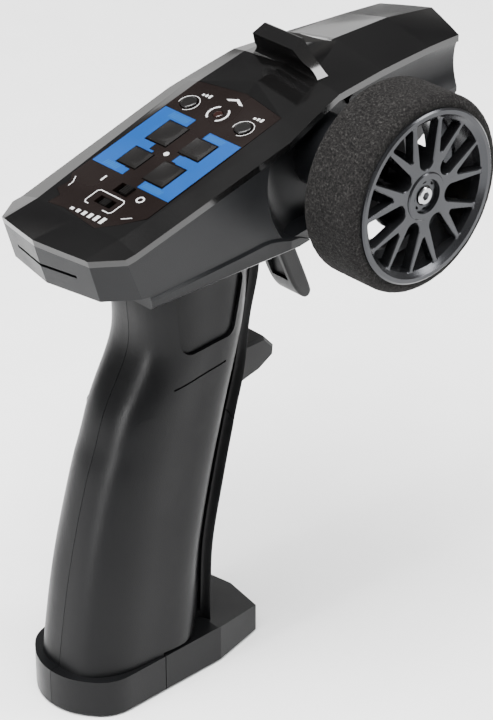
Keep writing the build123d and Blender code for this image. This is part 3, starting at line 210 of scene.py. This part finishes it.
slot_material = {
    "shell_plastic": shell_plastic,
    "cover_gloss": cover_gloss,
    "panel_sheet": panel_sheet,
    "key_plastic": key_plastic,
    "soft_black": soft_black,
    "wheel_grey": wheel_grey,
    "foam": foam,
    "steel": steel,
    "brass": brass,
    "gear_plastic": nylon,
    "switch_plastic": soft_black,
    "board": board_green,
    "cell_sleeve": cell_sleeve,
    "lamp": lamp_tint,
}
for subpart in frame["record"]["subparts"]:
    node = frame["nodes"][subpart["node"]]
    node.material_slots[0].material = slot_material[subpart["material_slot"]]

# ---- Printed marks on the control panel -------------------------------------------------
# places on the panel are (x, s) in mm: x across, and s along the slope from its top edge
PANEL_TOP = Vector((0, 43.5, 176.2))
PANEL_SLOPE = math.atan(0.2723)
PRINT_LIFT = 0.02
PRINT_DEPTH = 0.04
along = Vector((0, math.cos(PANEL_SLOPE), math.sin(PANEL_SLOPE)))
outward = Vector((0, -math.sin(PANEL_SLOPE), math.cos(PANEL_SLOPE)))


def on_panel(x, s, lift=0.0):
    """The point in metres at (x, s) on the panel, raised by lift mm."""
    point = PANEL_TOP + along * s + outward * lift
    return Vector((x, point.y, point.z)) * MM


def mesh_piece(name, points, faces, material, body, smooth=False):
    """A mesh piece that rides on a body."""
    mesh = bpy.data.meshes.new(name)
    mesh.from_pydata(points, [], faces)
    mesh.update()
    piece = bpy.data.objects.new(name, mesh)
    bpy.context.collection.objects.link(piece)
    mesh.materials.append(material)
    if smooth:
        mesh.shade_smooth()
    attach(piece, body)
    return piece


def print_film(name, polygons, material):
    """A thin film of print on the panel: polygons in (x, s), each extruded to the film's depth."""
    points, faces = [], []
    for polygon in polygons:
        area = sum(a[0] * b[1] - b[0] * a[1] for a, b in zip(polygon, polygon[1:] + polygon[:1]))
        if area < 0:
            polygon = polygon[::-1]
        start, count = len(points), len(polygon)
        points += [on_panel(x, s, PRINT_LIFT) for x, s in polygon]
        points += [on_panel(x, s, PRINT_LIFT + PRINT_DEPTH) for x, s in polygon]
        faces.append([start + i for i in reversed(range(count))])
        faces.append([start + count + i for i in range(count)])
        for i in range(count):
            j = (i + 1) % count
            faces.append([start + i, start + j, start + count + j, start + count + i])
    return mesh_piece(name, points, faces, material, "body")


def rectangle(left, right, low, high):
    """The four corners of a rectangle."""
    return [(left, low), (right, low), (right, high), (left, high)]


def field(left, right, low, high, holes):
    """A rectangular field without its holes, as rectangles."""
    xs = sorted({left, right} | {min(max(v, left), right) for h in holes for v in h[:2]})
    ys = sorted({low, high} | {min(max(v, low), high) for h in holes for v in h[2:]})
    cells = []
    for x0, x1 in zip(xs, xs[1:]):
        for y0, y1 in zip(ys, ys[1:]):
            cx, cy = (x0 + x1) / 2, (y0 + y1) / 2
            if not any(h[0] < cx < h[1] and h[2] < cy < h[3] for h in holes):
                cells.append(rectangle(x0, x1, y0, y1))
    return cells


def arc_band(cx, cy, inner, outer, start, end, steps):
    """A curved band as quads, angles in degrees."""
    quads = []
    for i in range(steps):
        a, b = (math.radians(start + (end - start) * k / steps) for k in (i, i + 1))
        quads.append([
            (cx + inner * math.cos(a), cy + inner * math.sin(a)),
            (cx + outer * math.cos(a), cy + outer * math.sin(a)),
            (cx + outer * math.cos(b), cy + outer * math.sin(b)),
            (cx + inner * math.cos(b), cy + inner * math.sin(b)),
        ])
    return quads


def stroke(points, width):
    """A line of print through points, as one quad for each step."""
    quads = []
    for (x0, y0), (x1, y1) in zip(points, points[1:]):
        length = math.hypot(x1 - x0, y1 - y0)
        nx, ny = -(y1 - y0) / length * width / 2, (x1 - x0) / length * width / 2
        quads.append([(x0 + nx, y0 + ny), (x0 - nx, y0 - ny), (x1 - nx, y1 - ny), (x1 + nx, y1 + ny)])
    return quads


# centre x and s, then width and length, of each key
KEYS = {
    "upper_left": (-6.4, -22.8, 8.0, 9.3),
    "upper_right": (6.9, -23.4, 8.1, 7.6),
    "lower_left": (-6.2, -35.7, 7.4, 7.4),
    "lower_right": (6.8, -36.6, 8.0, 9.0),
}
KEY_ROOM = 0.55
hole = {
    name: (x - w / 2 - KEY_ROOM, x + w / 2 + KEY_ROOM, s - l / 2 - KEY_ROOM, s + l / 2 + KEY_ROOM)
    for name, (x, s, w, l) in KEYS.items()
}
# left, right, low and high sides of each blue field, and of the plain gaps on its inner side
LEFT_FIELD = (-16.9, -3.9, -43.0, -13.8)
LEFT_GAPS = [(-6.0, 9.0, -30.6, -18.5), (-6.0, 9.0, -40.2, -31.6)]
RIGHT_FIELD = (4.3, 17.2, -44.8, -16.0)
RIGHT_GAPS = [(-9.0, 6.0, -28.0, -19.2), (-9.0, 6.0, -41.6, -31.2)]
blue_left = field(*LEFT_FIELD, [hole["upper_left"], hole["lower_left"], *LEFT_GAPS])
blue_right = field(*RIGHT_FIELD, [hole["upper_right"], hole["lower_right"], *RIGHT_GAPS])
print_film("blue_fields", blue_left + blue_right, panel_blue)

OUTLINE_WIDTH = 0.35
BAR_WIDTH = 0.6
CORNER_WIDTH = 0.28
white_marks = []
# rings round the two round buttons
for x, s in ((-12.0, -9.0), (11.2, -9.4)):
    white_marks += arc_band(x, s, 3.25, 3.45, -80, 200, 24)
# arcs either side of the status lamp
for start, end in ((-60, 60), (120, 240)):
    white_marks += arc_band(-0.4, -8.3, 3.0, 3.6, start, end, 10)
# outline round the slide switch near the tail, open at its foot
long_side = [
    (-4.6, -52.0),
    (-3.9, -51.2),
    (5.9, -51.2),
    (6.6, -52.0),
    (6.6, -56.6),
    (5.9, -57.4),
    (3.4, -57.4),
]
short_side = [(-4.6, -52.0), (-4.6, -56.6), (-3.9, -57.4), (-2.6, -57.4)]
for outline in (long_side, short_side):
    white_marks += stroke(outline, OUTLINE_WIDTH)
# power switch: a bar for on and a ring for off
white_marks += stroke([(-7.4, -45.9), (-7.4, -48.3)], BAR_WIDTH)
white_marks += arc_band(9.5, -48.3, 0.85, 1.35, 0, 360, 20)
# short corner lines at the tail end of the panel
for corner_line in ([(-15.2, -50.9), (-13.9, -53.3), (-13.9, -55.0)], [(11.0, -57.2), (13.6, -55.2)]):
    white_marks += stroke(corner_line, CORNER_WIDTH)
# bar scale between the corner lines
for step in range(6):
    left = -5.6 + 2.4 * step
    white_marks += [rectangle(left, -4.3 + 2.4 * step, -61.9, -60.9 + 0.32 * step)]
# pointer above the lamp
white_marks += [[(-3.4, -1.9), (0.0, -0.1), (3.4, -1.9), (2.2, -2.2), (0.0, -1.1), (-2.2, -2.2)]]
# bars beside the round buttons
for x, s in ((-9.6, -4.4), (12.2, -4.6)):
    for step in range(3):
        left = x - 1.8 + 1.3 * step
        white_marks += [rectangle(left, x - 1.0 + 1.3 * step, s, s + 0.8 + 0.35 * step)]
# dot between the four keys
DOT_X, DOT_S, DOT_R, DOT_SIDES = 0.3, -29.6, 0.9, 12
dot_turns = [math.tau * k / DOT_SIDES for k in range(DOT_SIDES)]
white_marks += [[(DOT_X + DOT_R * math.cos(turn), DOT_S + DOT_R * math.sin(turn)) for turn in dot_turns]]
print_film("white_marks", white_marks, print_white)

# fine pale hatching in the corners of the blue fields
HATCH_PITCH = 0.85
HATCH_LEAN = 0.45
HATCH_WIDTH = 0.16
HATCH_PATCHES = (
    (-12.6, -4.4, -16.9, -14.6),
    (-13.0, -6.8, -42.4, -40.4),
    (5.0, 12.6, -18.6, -16.6),
    (5.4, 13.4, -44.2, -42.2),
)
hatch = []
for left, right, low, high in HATCH_PATCHES:
    for k in range(int((right - left) / HATCH_PITCH)):
        x = left + HATCH_PITCH * k
        hatch += stroke([(x, low), (x + HATCH_LEAN, high)], HATCH_WIDTH)
film = print_film("hatch_marks", hatch, hatch_blue)
# raised so that it stands clear of the blue film below it
film.data.transform(Matrix.Translation(outward * (PRINT_DEPTH * 0.6) * MM))

# ---- Foam tyre --------------------------------------------------------------------------
# sizes in mm; the section is kept a little inside the CAD tyre, to leave room for its roughness
tyre_low, tyre_high = (v * 1000 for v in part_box("foam_tyre"))
tyre_outer = (tyre_high.z - tyre_low.z) / 2
TYRE_INNER = 24.66
TYRE_STEPS = 360
EDGE = 2.6
EDGE_STEPS = 8
TREAD_STEPS = 15
SIDE_ROOM = 0.05
TREAD_ROOM = 0.10
SIDE_FOOT = 1.0
INNER_CHAMFER = 0.6
PIT_DEPTH = 0.10
PIT_RISE = 0.04
SIDE_WANDER = 0.04


def tyre_section():
    """Closed section as (x, radius): outboard side, tread, inboard side, then the face on the rim."""
    section = [(tyre_high.x - SIDE_ROOM, TYRE_INNER + SIDE_FOOT)]
    for corner_x, spin in ((tyre_high.x, 1), (tyre_low.x, -1)):
        for k in range(EDGE_STEPS + 1):
            angle = math.pi / 2 * (k / EDGE_STEPS if spin > 0 else 1 - k / EDGE_STEPS)
            section.append((
                corner_x - spin * EDGE * (1 - math.cos(angle)) - spin * SIDE_ROOM,
                tyre_outer - EDGE + EDGE * math.sin(angle) - TREAD_ROOM,
            ))
        if spin > 0:
            tread = tyre_low.x - tyre_high.x + 2 * EDGE
            for k in range(1, TREAD_STEPS):
                share = k / TREAD_STEPS
                section.append((tyre_high.x - EDGE + tread * share, tyre_outer - TREAD_ROOM))
    section.append((tyre_low.x + SIDE_ROOM, TYRE_INNER + SIDE_FOOT))
    section += [(tyre_low.x + INNER_CHAMFER, TYRE_INNER), (tyre_high.x - INNER_CHAMFER, TYRE_INNER)]
    return section


section = tyre_section()
tyre_points, tyre_faces = [], []
for step in range(TYRE_STEPS):
    turn = math.tau * step / TYRE_STEPS
    for x, r in section:
        # the foam is rough everywhere but on the face against the rim
        rough = shift = 0.0
        if r > TYRE_INNER:
            rough = random.uniform(-PIT_DEPTH, PIT_RISE)
            shift = random.uniform(-SIDE_WANDER, SIDE_WANDER)
        x = min(max(x + shift, tyre_low.x), tyre_high.x)
        offset = Vector((x, (r + rough) * math.cos(turn), (r + rough) * math.sin(turn)))
        tyre_points.append(AXIS + offset * MM)
count = len(section)
for step in range(TYRE_STEPS):
    here, after = step * count, (step + 1) % TYRE_STEPS * count
    for k in range(count):
        j = (k + 1) % count
        tyre_faces.append([here + k, here + j, after + j, after + k])
tyre = mesh_piece("foam_tyre_cut", tyre_points, tyre_faces, foam, "steering", smooth=True)
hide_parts("foam_tyre")

# ---- Softened edges on the moulded parts ------------------------------------------------
# corners nearer than this, in mm, are joined before the bevel
WELD_REACH = 0.002


def crisp_creases():
    """Node tree for a modifier: every open edge becomes sharp, and the stored normals are dropped."""
    tree = bpy.data.node_groups.new("crisp_creases", "GeometryNodeTree")
    for way in ("INPUT", "OUTPUT"):
        tree.interface.new_socket("Geometry", in_out=way, socket_type="NodeSocketGeometry")
    start = tree.nodes.new("NodeGroupInput")
    end = tree.nodes.new("NodeGroupOutput")
    # an edge with one face is a crease: the CAD mesh is split along its creases
    neighbours = tree.nodes.new("GeometryNodeInputMeshEdgeNeighbors")
    shared = tree.nodes.new("FunctionNodeCompare")
    shared.data_type = "INT"
    shared.operation = "NOT_EQUAL"
    count_socket, one_socket = [socket for socket in shared.inputs if socket.enabled]
    one_socket.default_value = 1
    tree.links.new(neighbours.outputs["Face Count"], count_socket)
    smooth = tree.nodes.new("GeometryNodeSetShadeSmooth")
    smooth.domain = "EDGE"
    tree.links.new(start.outputs["Geometry"], smooth.inputs["Geometry"])
    tree.links.new(shared.outputs["Result"], smooth.inputs["Shade Smooth"])
    drop = add_node(tree, "GeometryNodeRemoveAttribute", Name="custom_normal")
    tree.links.new(smooth.outputs["Geometry"], drop.inputs["Geometry"])
    tree.links.new(drop.outputs["Geometry"], end.inputs["Geometry"])
    return tree


def soften(name, width):
    """Bevels a CAD node's edges by width mm with modifiers alone; its own mesh is left as it is."""
    node = frame["nodes"][name]
    crisp = node.modifiers.new("crisp_creases", "NODES")
    crisp.node_group = crisp_creases()
    weld = node.modifiers.new("joined_corners", "WELD")
    weld.merge_threshold = WELD_REACH * MM
    bevel = node.modifiers.new("soft_edges", "BEVEL")
    bevel.width = width * MM
    bevel.segments = 1
    bevel.limit_method = "ANGLE"
    bevel.angle_limit = math.radians(35)
    bevel.harden_normals = True


soften("top_cover", 0.22)

# ---- Floor and light --------------------------------------------------------------------
FLOOR_HALF = 6.0
floor_mesh = bpy.data.meshes.new("floor")
corners = [(x * FLOOR_HALF, y * FLOOR_HALF, 0) for x, y in ((-1, -1), (1, -1), (1, 1), (-1, 1))]
floor_mesh.from_pydata(corners, [], [(0, 1, 2, 3)])
floor = bpy.data.objects.new("floor", floor_mesh)
bpy.context.collection.objects.link(floor)
floor_mesh.materials.append(grained("floor_paint", (0.86, 0.86, 0.86), 0.7, 20, 0.0001, tint=0.01))


def area_light(name, place, aim, size, power, size_y=None):
    """A soft rectangular light aimed at a point."""
    data = bpy.data.lights.new(name, "AREA")
    data.shape = "RECTANGLE"
    data.size = size
    data.size_y = size_y or size
    data.energy = power
    light = bpy.data.objects.new(name, data)
    light.location = place
    light.rotation_euler = (Vector(aim) - Vector(place)).to_track_quat("-Z", "Y").to_euler()
    bpy.context.collection.objects.link(light)


# places in metres and power in watts
area_light("overhead", place=(0.15, -0.35, 1.7), aim=(0.0, 0.15, 0.0), size=1.5, power=135)
area_light("edge", place=(1.08, 1.06, 1.10), aim=(0, 0.03, 0.15), size=0.55, power=22)
area_light("front_left", place=(-1.5, 1.2, 0.62), aim=(0, 0.05, 0.17), size=1.7, power=5, size_y=0.6)
area_light("rear_strip", place=(-0.06, -1.45, 0.38), aim=(0, 0.0, 0.09), size=0.17, power=22, size_y=0.9)

# pale sky with a darker band part way up, which the glossy parts reflect
world = bpy.data.worlds.new("studio")
bpy.context.scene.world = world
world.use_nodes = True
tree = world.node_tree
direction = tree.nodes.new("ShaderNodeTexCoord")
split = tree.nodes.new("ShaderNodeSeparateXYZ")
tree.links.new(direction.outputs["Generated"], split.inputs["Vector"])
SKY = [
    (0.0, (0.9, 0.9, 0.9)),
    (0.28, (1.0, 0.97, 0.94)),
    (0.5, (0.2, 0.2, 0.21)),
    (1.0, (0.9, 0.9, 0.9)),
]
glow = ramp(tree, split.outputs["Z"], SKY)
background = tree.nodes["Background"]
tree.links.new(glow, background.inputs["Color"])
background.inputs["Strength"].default_value = 0.5
